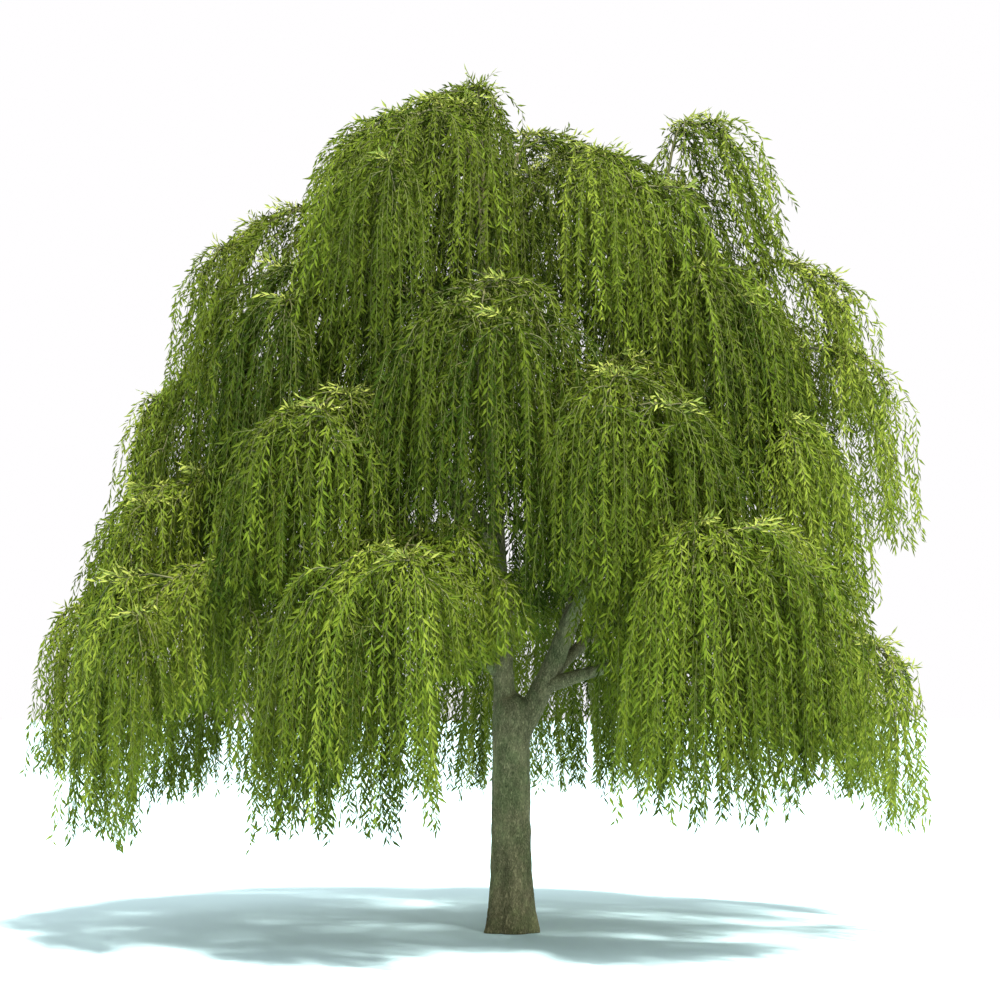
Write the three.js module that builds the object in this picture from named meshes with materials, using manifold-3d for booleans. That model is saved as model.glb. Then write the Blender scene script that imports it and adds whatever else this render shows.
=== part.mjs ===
// A weeping willow, 10 m tall: a trunk that forks into two leaders, boughs that arch out of them,
// and hanging masses of foliage. Millimetres, +Z up, origin at the middle of the trunk's cut foot.
// Azimuths are seen from above: 0 is +X, 90 is +Y.
import * as THREE from "three";
import { mergeVertices } from "three/addons/utils/BufferGeometryUtils.js";
import Module from "manifold-3d";

const wasm = await Module();
wasm.setup();

const UP = new THREE.Vector3(0, 0, 1);
const JOINT_GAP = 0.4; // clear space between two pieces that meet
const QUARTER_TURN = Math.PI / 2;

// ---- driving dimensions ----

const TRUNK = {
  height: 2720, // where the two leaders part
  shoulder: 230, // length over which the top rounds in
  topRadius: 205,
  taper: 33, // how much wider it is at the ground, before the flare
  flare: 78, // extra radius of the root flare at the ground
  flareHeight: 340,
  rootRidges: 5,
  ridgeDepth: 0.09, // share of the radius
  roundness: 0.85, // how far the shoulder rounds in
};

// Each leader rises evenly from its foot to its head, swaying sideways through four points.
const LEADERS = {
  centre: {
    foot: 2250,
    head: 8950,
    x: [-60, -120, -330, -330],
    y: [10, 60, -40, 0],
    radius: [132, 26],
  },
  right: {
    foot: 2250,
    head: 8500,
    x: [60, 1350, 1000, 1800],
    y: [0, -120, -90, -60],
    radius: [135, 26],
  },
};

// Every bough springs from a leader, rises to its apex and falls to its tip; the mass of foliage
// takes over on the way up. Radii of apex and tip are measured from the trunk's axis.
//        name                 leader    azimuth springs  apex r, z     tip r, z   spread floor
const BOUGHS = [
  ["crown_top",                "centre",    140,    null, [520, 9940], [1750, 8550],  950, 6600],
  ["crown_left",               "centre",    192,    6900, [700, 9600], [2020, 8150],  620, 6000],
  ["crown_front",              "centre",    238,    6560, [1050, 9340], [2800, 7600], 1050, 5400],
  ["crown_front_right",        "centre",    302,    6240, [1120, 8820], [2700, 7500], 1050, 5400],
  ["crown_right",              "right",       1,    null, [2060, 9440], [2950, 7900],  780, 6300],
  ["crown_back",               "centre",     72,    6720, [1020, 9540], [2750, 7800], 1500, 5600],
  ["shoulder_left",            "centre",    178,    5700, [2360, 8400], [3420, 7100],  900, 5900],
  ["shoulder_front_left",      "centre",    216,    5200, [2050, 7500], [3250, 6100], 1250, 4600],
  ["shoulder_front",           "centre",    264,    5120, [2450, 7050], [3400, 5450], 1150, 2800],
  ["shoulder_front_right",     "right",     316,    5150, [2150, 7500], [3200, 6100], 1200, 4400],
  ["shoulder_right",           "right",       3,    5650, [3150, 7800], [3760, 6700],  950, 5700],
  ["shoulder_back_right",      "right",      40,    5050, [2750, 7750], [3800, 6500], 1600, 4800],
  ["shoulder_back_left",       "centre",    108,    4850, [2550, 7950], [3650, 6600], 1600, 4800],
  ["arm_left",                 "centre",    176,    4450, [3360, 6550], [4120, 5450], 1100, 4600],
  ["arm_front_left",           "centre",    236,    4150, [2950, 5900], [4000, 4800], 1300, 3600],
  ["arm_front_right",          "right",     289,    4200, [2950, 6150], [3900, 5100], 1250, 3500],
  ["arm_right",                "right",     357,    4550, [3500, 6720], [4240, 5450], 1080, 4300],
  ["arm_back_right",           "right",      72,    3900, [3050, 6200], [4250, 4900], 1600, 3600],
  ["arm_back_left",            "centre",    142,    3980, [3050, 6200], [4250, 4900], 1600, 3600],
  ["elbow_left",               "centre",    199,    3760, [3400, 5150], [4500, 4150], 1250, 3100],
  ["elbow_right",              "right",     327,    3860, [3050, 5850], [3780, 4700],  950, 3500],
  ["skirt_left",               "centre",    176,    2960, [4020, 4150], [5050, 3100], 1350, 1680],
  ["skirt_front_left",         "centre",    214,    3200, [3650, 4150], [4750, 3000], 1450, 1020],
  ["skirt_front",              "centre",    254,    3480, [3250, 4350], [4400, 3250], 1450, 1150],
  ["skirt_front_right",        "right",     298,    3500, [3350, 4650], [4450, 3450], 1450, 1320],
  ["skirt_right",              "right",     345,    2800, [3780, 3320], [4320, 2600], 1250, 1150],
  ["skirt_back_right",         "right",      37,    2880, [3700, 4200], [4550, 3100], 1750, 1350],
  ["skirt_back",               "centre",     82,    3480, [3500, 4300], [4700, 3100], 1850, 1350],
  ["skirt_back_left",          "centre",    131,    3180, [3700, 4250], [4850, 3100], 1600, 1300],
].map(([name, leader, azimuth, springs, apex, tip, spread, floor], index) => ({
  name, leader, springs, spread, floor, index,
  azimuth: THREE.MathUtils.degToRad(azimuth),
  apex: { radius: apex[0], height: apex[1] },
  tip: { radius: tip[0], height: tip[1] },
}));

const BOUGH = {
  share: 0.68, // of the rise to the apex, where the foliage takes over
  steps: 4,
  sides: 5,
  slimness: 0.02, // radius at the foot as a share of the reach, and at most
  footShare: 0.72, // this share of the leader's own radius there
  tipRadius: 24,
};

const STEM = { steps: 6, sides: 3, radius: 19, tipRadius: 13, inset: 12 };

const TWIG = {
  count: 5,
  sides: 3,
  steps: 2,
  radius: 9,
  heading: [0.75, 1.25], // radians away from the stem's own heading
  rise: [0.05, 0.4],
  droop: [0.35, 0.6], // share of its length
  tapering: 0.4, // how much shorter they are at the stem's tip
  shares: [0.4, 0.64, 0.88], // where its sprays hang
};

// A spray is one hanging withe with its leaves, as a long thin blade.
const SPRAY = {
  longest: 2450,
  shortest: 420,
  width: 0.14, // share of its length
  thickness: 0.018,
  swell: 0.4, // how far the widest point lies above the middle, as a share of half the length
  lean: 0.16,
  trims: [1, 0.88, 0.76, 0.64, 0.52, 0.4, 0.3],
  stemShares: [0.3, 0.45, 0.6, 0.75, 0.9],
};

const SITE_DROP = 850; // how far the middle of a mass lies under its apex
const SPACE_MARGIN = 12; // clear of the neighbouring mass's space
const LIMB_CLEARANCE = 20;

// ---- growth rule ----

// A seeded draw: the same seed always grows the same tree.
function drawsFrom(seed) {
  let state = seed >>> 0;
  return (low, high) => {
    state = (Math.imul(state, 1664525) + 1013904223) >>> 0;
    return low + ((high - low) * state) / 4294967296;
  };
}

const vector = (x, y, z) => new THREE.Vector3(x, y, z);
const heading = (azimuth) => vector(Math.cos(azimuth), Math.sin(azimuth), 0);
const polar = (azimuth, { radius, height }) => heading(azimuth).multiplyScalar(radius).setZ(height);
const moved = (point, direction, by) => point.clone().addScaledVector(direction, by);

function leaderCurve({ foot, head, x, y }) {
  const points = x.map((value, i) => vector(value, y[i], THREE.MathUtils.lerp(foot, head, i / 3)));
  return new THREE.CubicBezierCurve3(...points);
}

// The whole arch of a bough and its foliage's stem: one curve up to the apex, one down to the tip.
function archCurves(bough) {
  const { foot, head } = LEADERS[bough.leader];
  const springs = bough.springs ?? head;
  const start = leaderCurve(LEADERS[bough.leader]).getPoint((springs - foot) / (head - foot));
  const apex = polar(bough.azimuth, bough.apex);
  const tip = polar(bough.azimuth, bough.tip);
  const across = apex.clone().sub(start).setZ(0);
  const climb = apex.z - start.z;
  const out = heading(bough.azimuth);
  const fall = bough.tip.radius - bough.apex.radius;
  const rise = new THREE.CubicBezierCurve3(
    start,
    moved(moved(start, across, 0.28), UP, 0.55 * climb),
    moved(apex, across, -0.45),
    apex,
  );
  const descent = new THREE.CubicBezierCurve3(
    apex,
    moved(apex, out, 0.6 * fall),
    moved(tip, UP, 0.55 * (apex.z - tip.z)),
    tip,
  );
  return { rise, descent };
}

// A point of the arch: 0 to 1 on the rise, 1 to 2 on the descent.
function archPoint({ rise, descent }, t) {
  return t <= 1 ? rise.getPoint(t) : descent.getPoint(t - 1);
}

function boughPath(bough) {
  const arch = archCurves(bough);
  return Array.from({ length: BOUGH.steps + 1 }, (_, i) =>
    archPoint(arch, (BOUGH.share * i) / BOUGH.steps));
}

// The stem goes on from the end of its bough, or from the head of its leader.
function stemPath(bough) {
  const arch = archCurves(bough);
  const from = bough.springs === null ? 0 : BOUGH.share;
  const path = Array.from({ length: STEM.steps + 1 }, (_, i) =>
    archPoint(arch, THREE.MathUtils.lerp(from, 2, i / STEM.steps)));
  const way = path[1].clone().sub(path[0]).normalize();
  path[0].addScaledVector(way, -STEM.inset);
  return path;
}

function pointAlong(path, share) {
  const place = share * (path.length - 1);
  const i = Math.min(Math.floor(place), path.length - 2);
  return path[i].clone().lerp(path[i + 1], place - i);
}

function twigPath(root, direction, length, droop) {
  const curve = new THREE.QuadraticBezierCurve3(
    root,
    moved(root, direction, length / 2),
    moved(moved(root, direction, length), UP, -droop * length),
  );
  return curve.getPoints(TWIG.steps);
}

// ---- space of each mass ----

const sites = BOUGHS.map((bough) =>
  polar(bough.azimuth, {
    radius: (bough.apex.radius + bough.tip.radius) / 2,
    height: bough.apex.height - SITE_DROP,
  }));

// A mass owns the points that are nearer to its own site than to any other.
function inSpace(index, point, margin) {
  const own = sites[index];
  if (point.z < BOUGHS[index].floor) return false;
  return sites.every((other, i) => {
    if (i === index) return true;
    const gap = point.distanceToSquared(other) - point.distanceToSquared(own);
    return gap / (2 * own.distanceTo(other)) > margin;
  });
}

// Least distance between two straight stretches.
function stretchDistance(a0, a1, b0, b1) {
  const a = a1.clone().sub(a0);
  const b = b1.clone().sub(b0);
  const between = a0.clone().sub(b0);
  const aa = a.dot(a);
  const bb = b.dot(b);
  const ab = a.dot(b);
  const denominator = aa * bb - ab * ab;
  const clamp = (value) => Math.min(1, Math.max(0, value));
  let s = denominator > 1e-9 ? clamp((ab * b.dot(between) - bb * a.dot(between)) / denominator) : 0;
  const t = clamp((ab * s + b.dot(between)) / bb);
  s = clamp((ab * t - a.dot(between)) / aa);
  return moved(a0, a, s).distanceTo(moved(b0, b, t));
}

const limbs = []; // every trunk, leader, bough and stem, as stretches with a radius

function addLimb(owner, path, radii) {
  for (let i = 0; i < path.length - 1; i++)
    limbs.push({ owner, from: path[i], to: path[i + 1], radius: Math.max(radii[i], radii[i + 1]) });
}

function touchesLimb(owner, from, to, radius) {
  return limbs.some((limb) =>
    limb.owner !== owner &&
    stretchDistance(from, to, limb.from, limb.to) < radius + limb.radius + LIMB_CLEARANCE);
}

// ---- solids ----

// A tapering limb: a cylinder's rings laid along a path. radiusAt(ring, angle) is its half width.
function limbGeometry(path, radiusAt, sides, pointed = false) {
  const steps = path.length - 1;
  const geometry = pointed
    ? new THREE.ConeGeometry(1, 1, sides, steps)
    : new THREE.CylinderGeometry(1, 1, 1, sides, steps);
  const tangents = path.map((_, i) =>
    path[Math.min(i + 1, steps)].clone().sub(path[Math.max(i - 1, 0)]).normalize());
  let normal = Math.abs(tangents[0].z) > 0.99 ? vector(1, 0, 0) : tangents[0].clone().cross(UP);
  const normals = tangents.map((tangent) => {
    normal = moved(normal, tangent, -normal.dot(tangent)).normalize();
    return normal;
  });
  const places = geometry.attributes.position;
  for (let v = 0; v < places.count; v++) {
    const ring = Math.round((places.getY(v) + 0.5) * steps);
    const x = places.getX(v);
    const z = places.getZ(v);
    const isRim = Math.hypot(x, z) > 1e-6;
    const angle = Math.atan2(z, x);
    const radius = isRim ? radiusAt(ring, angle) : 0;
    const side = normals[ring].clone().cross(tangents[ring]);
    const place = moved(path[ring], normals[ring], radius * Math.cos(angle));
    place.addScaledVector(side, radius * Math.sin(angle));
    places.setXYZ(v, place.x, place.y, place.z);
  }
  return geometry;
}

// One hanging spray: an eight-faced blade from its root to its tip, widest above the middle.
function sprayGeometry(root, tip, turn) {
  const length = root.distanceTo(tip);
  const geometry = new THREE.OctahedronGeometry(1);
  const places = geometry.attributes.position;
  for (let v = 0; v < places.count; v++)
    if (Math.abs(places.getY(v)) < 1e-6) places.setY(v, SPRAY.swell);
  const middle = root.clone().lerp(tip, 0.5);
  const way = root.clone().sub(tip).normalize();
  const turned = new THREE.Quaternion()
    .setFromUnitVectors(vector(0, 1, 0), way)
    .multiply(new THREE.Quaternion().setFromAxisAngle(vector(0, 1, 0), turn));
  const size = vector((SPRAY.width * length) / 2, length / 2, (SPRAY.thickness * length) / 2);
  return geometry.applyMatrix4(new THREE.Matrix4().compose(middle, turned, size));
}

function solidOf(geometry) {
  const bare = new THREE.BufferGeometry().setAttribute("position", geometry.attributes.position.clone());
  if (geometry.index) bare.setIndex(geometry.index);
  const merged = mergeVertices(bare, 1e-3);
  return new wasm.Manifold(new wasm.Mesh({
    numProp: 3,
    vertProperties: new Float32Array(merged.attributes.position.array),
    triVerts: new Uint32Array(merged.index.array),
  }));
}

// Joins solids into one, and drops any scrap that hangs loose.
function fused(solids) {
  const whole = solids.reduce((sum, next) => sum.add(next));
  return whole.decompose().reduce((best, next) => (next.volume() > best.volume() ? next : best));
}

function meshOf(name, solid, material) {
  const { vertProperties, triVerts } = solid.getMesh();
  const geometry = new THREE.BufferGeometry()
    .setAttribute("position", new THREE.BufferAttribute(new Float32Array(vertProperties), 3))
    .setIndex(new THREE.BufferAttribute(new Uint32Array(triVerts), 1));
  geometry.computeVertexNormals();
  const mesh = new THREE.Mesh(geometry, material);
  mesh.name = name;
  return mesh;
}

// ---- trunk, leaders and boughs ----

const TRUNK_RINGS = [0, 110, 280, 600, 1300, 2000, 2490, 2630, 2720];
const TRUNK_SIDES = 15;
const LEADER_STEPS = 8;
const LEADER_SIDES = 7;

function trunkRadius(height, angle) {
  const flare = Math.exp(-height / TRUNK.flareHeight);
  const round = Math.max(0, (height - TRUNK.height + TRUNK.shoulder) / TRUNK.shoulder);
  const ridge = 1 + TRUNK.ridgeDepth * flare * Math.cos(TRUNK.rootRidges * angle + 0.6);
  const straight = TRUNK.topRadius + TRUNK.taper * (1 - height / TRUNK.height) + TRUNK.flare * flare;
  return straight * ridge * Math.sqrt(1 - TRUNK.roundness * round * round);
}

function trunkSolid(grow = 0) {
  const path = TRUNK_RINGS.map((height) => vector(0, 0, height));
  path.at(-1).z += grow;
  const radiusAt = (ring, angle) => trunkRadius(TRUNK_RINGS[ring], angle) + grow;
  return solidOf(limbGeometry(path, radiusAt, TRUNK_SIDES));
}

// A round limb, or with grow the space it takes with that much clear room about it.
function limbSolid({ path, radii, sides }, grow = 0) {
  const way = path.at(-1).clone().sub(path.at(-2)).normalize();
  const grown = [...path.slice(0, -1), moved(path.at(-1), way, grow)];
  return solidOf(limbGeometry(grown, (ring) => radii[ring] + grow, sides));
}

function leaderLimb(leader) {
  const radii = Array.from({ length: LEADER_STEPS + 1 }, (_, i) =>
    THREE.MathUtils.lerp(...leader.radius, (i / LEADER_STEPS) ** 0.85));
  return { path: leaderCurve(leader).getPoints(LEADER_STEPS), radii, sides: LEADER_SIDES };
}

function boughLimb(bough) {
  const { foot, head, radius } = LEADERS[bough.leader];
  const leaderRadius = THREE.MathUtils.lerp(...radius, ((bough.springs - foot) / (head - foot)) ** 0.85);
  const footRadius = Math.min(BOUGH.slimness * (bough.apex.radius + bough.apex.height - bough.springs),
    BOUGH.footShare * leaderRadius);
  const radii = Array.from({ length: BOUGH.steps + 1 }, (_, i) =>
    THREE.MathUtils.lerp(footRadius, BOUGH.tipRadius, i / BOUGH.steps));
  return { path: boughPath(bough), radii, sides: BOUGH.sides };
}

// ---- foliage ----

// A spray from a root on a twig, hanging as far as its mass's space allows, or nothing.
function hangingSpray(bough, root, lean, draw) {
  const reach = SPRAY.longest * draw(0.72, 1);
  const way = UP.clone().negate().addScaledVector(lean, SPRAY.lean * draw(0.2, 1)).normalize();
  const turn = draw(0, Math.PI);
  const room = root.z - bough.floor;
  for (const trim of SPRAY.trims) {
    const length = Math.min(reach, room * 0.99) * trim;
    if (length < SPRAY.shortest) return null;
    const tip = moved(root, way, length);
    const widest = moved(root, way, (length * (1 - SPRAY.swell)) / 2);
    const halfWidth = (SPRAY.width * length) / 2;
    if (inSpace(bough.index, root, SPACE_MARGIN) &&
        inSpace(bough.index, widest, SPACE_MARGIN + halfWidth) &&
        inSpace(bough.index, tip, SPACE_MARGIN) &&
        !touchesLimb(bough.name, root, tip, halfWidth))
      return solidOf(sprayGeometry(root, tip, turn));
  }
  return null;
}

function foliageSolid(bough, carrier) {
  const draw = drawsFrom(7919 * (bough.index + 3));
  const stem = stemPath(bough);
  const out = heading(bough.azimuth);
  const side = heading(bough.azimuth + QUARTER_TURN);
  const stemRadius = (ring) => THREE.MathUtils.lerp(STEM.radius, STEM.tipRadius, ring / STEM.steps);
  const parts = [solidOf(limbGeometry(stem, stemRadius, STEM.sides, true))];
  for (const share of SPRAY.stemShares)
    parts.push(hangingSpray(bough, pointAlong(stem, share), out, draw));
  for (let i = 0; i < TWIG.count; i++) {
    const share = (i + 0.75) / (TWIG.count + 0.35);
    const hand = i % 2 ? 1 : -1;
    const turn = draw(...TWIG.heading);
    const direction = out.clone().multiplyScalar(Math.cos(turn)).addScaledVector(side, hand * Math.sin(turn));
    direction.addScaledVector(UP, draw(...TWIG.rise)).normalize();
    const fullLength = bough.spread * draw(0.85, 1.15) * (1 - TWIG.tapering * share);
    const droop = draw(...TWIG.droop);
    const root = pointAlong(stem, share);
    const lean = direction.clone().setZ(0).normalize();
    for (const trim of [1, 0.8, 0.6]) {
      const path = twigPath(root, direction, fullLength * trim, droop);
      const isClear = path.every((point, n) => inSpace(bough.index, point, SPACE_MARGIN + TWIG.radius) &&
        (n === 0 || !touchesLimb(bough.name, path[n - 1], point, TWIG.radius)));
      if (!isClear) continue;
      const radiusAt = (ring) => TWIG.radius * (1 - (0.6 * ring) / TWIG.steps);
      parts.push(solidOf(limbGeometry(path, radiusAt, TWIG.sides, true)));
      for (const place of TWIG.shares)
        parts.push(hangingSpray(bough, pointAlong(path, place), lean, draw));
      break;
    }
  }
  return fused([fused(parts.filter(Boolean)).subtract(carrier)]);
}

// ---- assembly ----

const bark = new THREE.MeshStandardMaterial({ color: 0x6a6149, roughness: 0.95, metalness: 0 });
const leaf = new THREE.MeshStandardMaterial({ color: 0x5f8f23, roughness: 0.6, metalness: 0 });

const willow = new THREE.Group();
const wood = new THREE.Group();
const foliage = new THREE.Group();
willow.add(wood, foliage);

wood.add(meshOf("trunk", trunkSolid(), bark));
const trunkLine = [vector(0, 0, 0), vector(0, 0, TRUNK.height)];
addLimb("trunk", trunkLine, [TRUNK.topRadius + TRUNK.taper, TRUNK.topRadius]);

// Each limb is cut clear of the wood that carries it and of the wood that is already there.
let standing = trunkSolid(JOINT_GAP);
function addWood(name, limb) {
  wood.add(meshOf(name, fused([limbSolid(limb).subtract(standing)]), bark));
  addLimb(name, limb.path, limb.radii);
  standing = standing.add(limbSolid(limb, JOINT_GAP));
}
for (const [name, leader] of Object.entries(LEADERS)) addWood("leader_" + name, leaderLimb(leader));
for (const bough of BOUGHS.filter(({ springs }) => springs !== null))
  addWood("bough_" + bough.name, boughLimb(bough));

for (const bough of BOUGHS)
  addLimb(bough.name, stemPath(bough), Array(STEM.steps + 1).fill(STEM.radius));
for (const bough of BOUGHS)
  foliage.add(meshOf("foliage_" + bough.name, foliageSolid(bough, standing), leaf));

export default willow;
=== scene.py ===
"""A weeping willow, 10 m tall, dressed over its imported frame. Metres, +Z up, -Y towards the front."""
import math
import bpy
import numpy as np
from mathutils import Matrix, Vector, noise


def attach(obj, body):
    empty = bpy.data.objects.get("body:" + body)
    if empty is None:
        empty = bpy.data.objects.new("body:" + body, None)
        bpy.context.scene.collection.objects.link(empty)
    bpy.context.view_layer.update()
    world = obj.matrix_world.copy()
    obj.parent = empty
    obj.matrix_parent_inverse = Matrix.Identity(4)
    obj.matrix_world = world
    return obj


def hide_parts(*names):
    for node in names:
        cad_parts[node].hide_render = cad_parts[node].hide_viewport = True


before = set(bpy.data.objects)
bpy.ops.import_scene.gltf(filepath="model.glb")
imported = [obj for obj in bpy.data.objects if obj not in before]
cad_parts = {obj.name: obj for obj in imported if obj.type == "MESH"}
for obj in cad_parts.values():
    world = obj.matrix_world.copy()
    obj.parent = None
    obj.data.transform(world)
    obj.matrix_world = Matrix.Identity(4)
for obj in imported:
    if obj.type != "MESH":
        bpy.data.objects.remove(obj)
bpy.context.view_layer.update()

# ---- Camera ----
# It stands 28 m in front of the tree and 2.6 m up, so that the ground is seen at a low slant and the
# whole crown fits, and it looks a little upwards.

CAMERA_PLACE = (-0.128, -28.0, 2.58)
CAMERA_RISE = 4.87  # degrees over the level

camera_data = bpy.data.cameras.new("camera")
camera_data.lens = 87.0
camera_data.sensor_width = 36.0
camera = bpy.data.objects.new("camera", camera_data)
camera.location = CAMERA_PLACE
camera.rotation_euler = (math.radians(90 + CAMERA_RISE), 0, 0)
bpy.context.scene.collection.objects.link(camera)
bpy.context.scene.camera = camera

# ---- Trunk and leaders ----
# The willow's stem: green wood under a corky, furrowed bark. It widens into five blunt ridges where
# the roots begin, and forks at 2.7 m into two leaders whose crotch has grown together.

UP = Vector((0, 0, 1))
TRUNK_HEIGHT = 2.72
TRUNK_SHOULDER = 0.23  # length over which the top rounds in
SHOULDER_ROUNDNESS = 0.85
TRUNK_TOP_RADIUS = 0.205
TRUNK_TAPER = 0.033  # how much wider it is at the ground, before the flare
FLARE_RADIUS = 0.078
FLARE_HEIGHT = 0.34
ROOT_RIDGES = 5
RIDGE_DEPTH = 0.09  # share of the radius
RIDGE_TURN = 0.6
TRUNK_RINGS = 60
TRUNK_SIDES = 60
LEADERS = {
    "centre": dict(foot=2.25, head=8.95, x=(-0.06, -0.12, -0.33, -0.33), y=(0.01, 0.06, -0.04, 0),
                   radius=(0.132, 0.026)),
    "right": dict(foot=2.25, head=8.5, x=(0.06, 1.35, 1.0, 1.8), y=(0, -0.12, -0.09, -0.06),
                  radius=(0.135, 0.026)),
}
LEADER_TAPERING = 0.85
LEADER_RINGS = 40
LEADER_SIDES = 24
CROTCH_SWELL = 0.25  # share of its radius that a leader is thicker by at its foot
CROTCH_LENGTH = 0.05  # share of its rise over which that dies away
FUSED_HEIGHT = 4.6  # up to here the leaders are one skin with the trunk
FUSING_VOXEL = 0.0155
FURROW_DEPTH = 0.011
FURROW_BED = 0.2  # share of their depth by which the whole relief is set in
FURROW_END = 0.05  # the furrows end this far under the top of the skin
FURROW_FADE = 0.5  # and die away over this height
OLD_BARK_HEIGHT = 2.2  # bark furrowed in full reaches up to here
OLD_BARK_FADE = 0.9
YOUNG_BARK_DEPTH = 0.45  # share of the furrows' depth that is left far above it
WANDER_PITCH = 3.1
WANDER = 0.05
RIDGE_PITCH = Vector((13, 13, 2.6))
CRACK_PITCH = Vector((9, 9, 10))
CRACK_SHARE = 0.25
GROUND_SNAP = 0.012  # points lower than this are set flat on the ground


def bezier(points, t):
    """A point of the cubic curve through four points."""
    a, b, c, d = points
    s = 1 - t
    return a * s**3 + b * (3 * s * s * t) + c * (3 * s * t * t) + d * t**3


def rise_share(leader, height):
    """How far up its rise a leader is at a height."""
    return (height - leader["foot"]) / (leader["head"] - leader["foot"])


def leader_point(leader, share):
    heights = [leader["foot"] + (leader["head"] - leader["foot"]) * i / 3 for i in range(4)]
    return bezier([Vector(p) for p in zip(leader["x"], leader["y"], heights)], share)


def leader_radius(leader, share):
    thick, thin = leader["radius"]
    return thick + (thin - thick) * max(share, 0) ** LEADER_TAPERING


def trunk_radius(height, angle):
    flare = math.exp(-height / FLARE_HEIGHT)
    rounding = max(0, (height - TRUNK_HEIGHT + TRUNK_SHOULDER) / TRUNK_SHOULDER)
    ridge = 1 + RIDGE_DEPTH * flare * math.cos(ROOT_RIDGES * angle + RIDGE_TURN)
    straight = TRUNK_TOP_RADIUS + TRUNK_TAPER * (1 - height / TRUNK_HEIGHT) + FLARE_RADIUS * flare
    return straight * ridge * math.sqrt(1 - SHOULDER_ROUNDNESS * rounding * rounding)


def tube(path, radius_at, sides):
    """A closed tube along a path: points and faces. radius_at(ring, angle) is its half width."""
    points, faces = [], []
    last = len(path) - 1
    normal = None
    for ring, centre in enumerate(path):
        way = (path[min(ring + 1, last)] - path[max(ring - 1, 0)]).normalized()
        if normal is None:
            normal = Vector((1, 0, 0)) if abs(way.z) > 0.9 else way.cross(UP)
        normal = (normal - way * normal.dot(way)).normalized()
        side = way.cross(normal)
        for step in range(sides):
            angle = math.tau * step / sides
            radius = radius_at(ring, angle)
            points.append(centre + (normal * math.cos(angle) + side * math.sin(angle)) * radius)
    for ring in range(last):
        for step in range(sides):
            here = ring * sides + step
            there = ring * sides + (step + 1) % sides
            faces.append((here, there, there + sides, here + sides))
    faces.append(tuple(range(sides - 1, -1, -1)))
    faces.append(tuple(range(last * sides, (last + 1) * sides)))
    return points, faces


def mesh_object(name, points, faces=(), edges=()):
    mesh = bpy.data.meshes.new(name)
    mesh.from_pydata([tuple(p) for p in points], edges, faces)
    mesh.update()
    piece = bpy.data.objects.new(name, mesh)
    bpy.context.scene.collection.objects.link(piece)
    return piece


def joined(tubes):
    """Several tubes as one list of points and one of faces."""
    points, faces = [], []
    for more_points, more_faces in tubes:
        faces += [tuple(i + len(points) for i in face) for face in more_faces]
        points += more_points
    return points, faces


def settled(piece):
    """Turns what the modifiers give into the piece's own plain mesh."""
    evaluated = piece.evaluated_get(bpy.context.evaluated_depsgraph_get())
    mesh = bpy.data.meshes.new_from_object(evaluated)
    piece.modifiers.clear()
    piece.data = mesh
    mesh.name = piece.name
    return piece


def furrows(point, size=1.0):
    """Height of the bark over its bed, about -1 to 1: long ridges that part and meet again."""
    place = point + noise.noise_vector(point * WANDER_PITCH) * WANDER
    ridge = 1 - 2 * abs(noise.noise(place * RIDGE_PITCH / size))
    cracks = 1 - 2 * abs(noise.noise(place * CRACK_PITCH / size))
    return (1 - CRACK_SHARE) * (1.6 * ridge - 0.8) + CRACK_SHARE * cracks


trunk_path = [UP * (TRUNK_HEIGHT * i / TRUNK_RINGS) for i in range(TRUNK_RINGS + 1)]
stem_tubes = [tube(trunk_path, lambda ring, angle: trunk_radius(trunk_path[ring].z, angle), TRUNK_SIDES)]
for leader in LEADERS.values():
    top = rise_share(leader, FUSED_HEIGHT)
    shares = [top * i / LEADER_RINGS for i in range(LEADER_RINGS + 1)]
    radii = [leader_radius(leader, s) * (1 + CROTCH_SWELL * math.exp(-s / CROTCH_LENGTH)) for s in shares]
    lower_path = [leader_point(leader, s) for s in shares]
    stem_tubes.append(tube(lower_path, lambda ring, angle: radii[ring], LEADER_SIDES))
trunk_bark = mesh_object("trunk_bark", *joined(stem_tubes))
fusing = trunk_bark.modifiers.new("fusing", "REMESH")
fusing.mode = "VOXEL"
fusing.voxel_size = FUSING_VOXEL
settled(trunk_bark)
smoothing = trunk_bark.modifiers.new("smoothing", "SMOOTH")
smoothing.factor = 0.6
smoothing.iterations = 6
settled(trunk_bark)


def relieved(piece, height_at):
    """Moves every point of a piece along its normal by the height that the function gives there."""
    vertices = piece.data.vertices
    places = np.empty(3 * len(vertices))
    normals = np.empty(3 * len(vertices))
    vertices.foreach_get("co", places)
    vertices.foreach_get("normal", normals)
    places = places.reshape(-1, 3)
    heights = np.array([height_at(Vector(place)) for place in places])
    places += normals.reshape(-1, 3) * heights[:, None]
    places[places[:, 2] < GROUND_SNAP, 2] = 0
    vertices.foreach_set("co", places.ravel())
    piece.data.polygons.foreach_set("use_smooth", [True] * len(piece.data.polygons))
    piece.data.update()


def trunk_relief(place):
    """How far the bark stands out: furrowed deepest low down, and smooth where the leaders go on."""
    fade = min(1, max(0, (FUSED_HEIGHT - FURROW_END - place.z) / FURROW_FADE))
    age = math.exp(-max(0, place.z - OLD_BARK_HEIGHT) / OLD_BARK_FADE)
    depth = FURROW_DEPTH * (YOUNG_BARK_DEPTH + (1 - YOUNG_BARK_DEPTH) * age)
    return (furrows(place) - FURROW_BED) * depth * fade


relieved(trunk_bark, trunk_relief)


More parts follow.
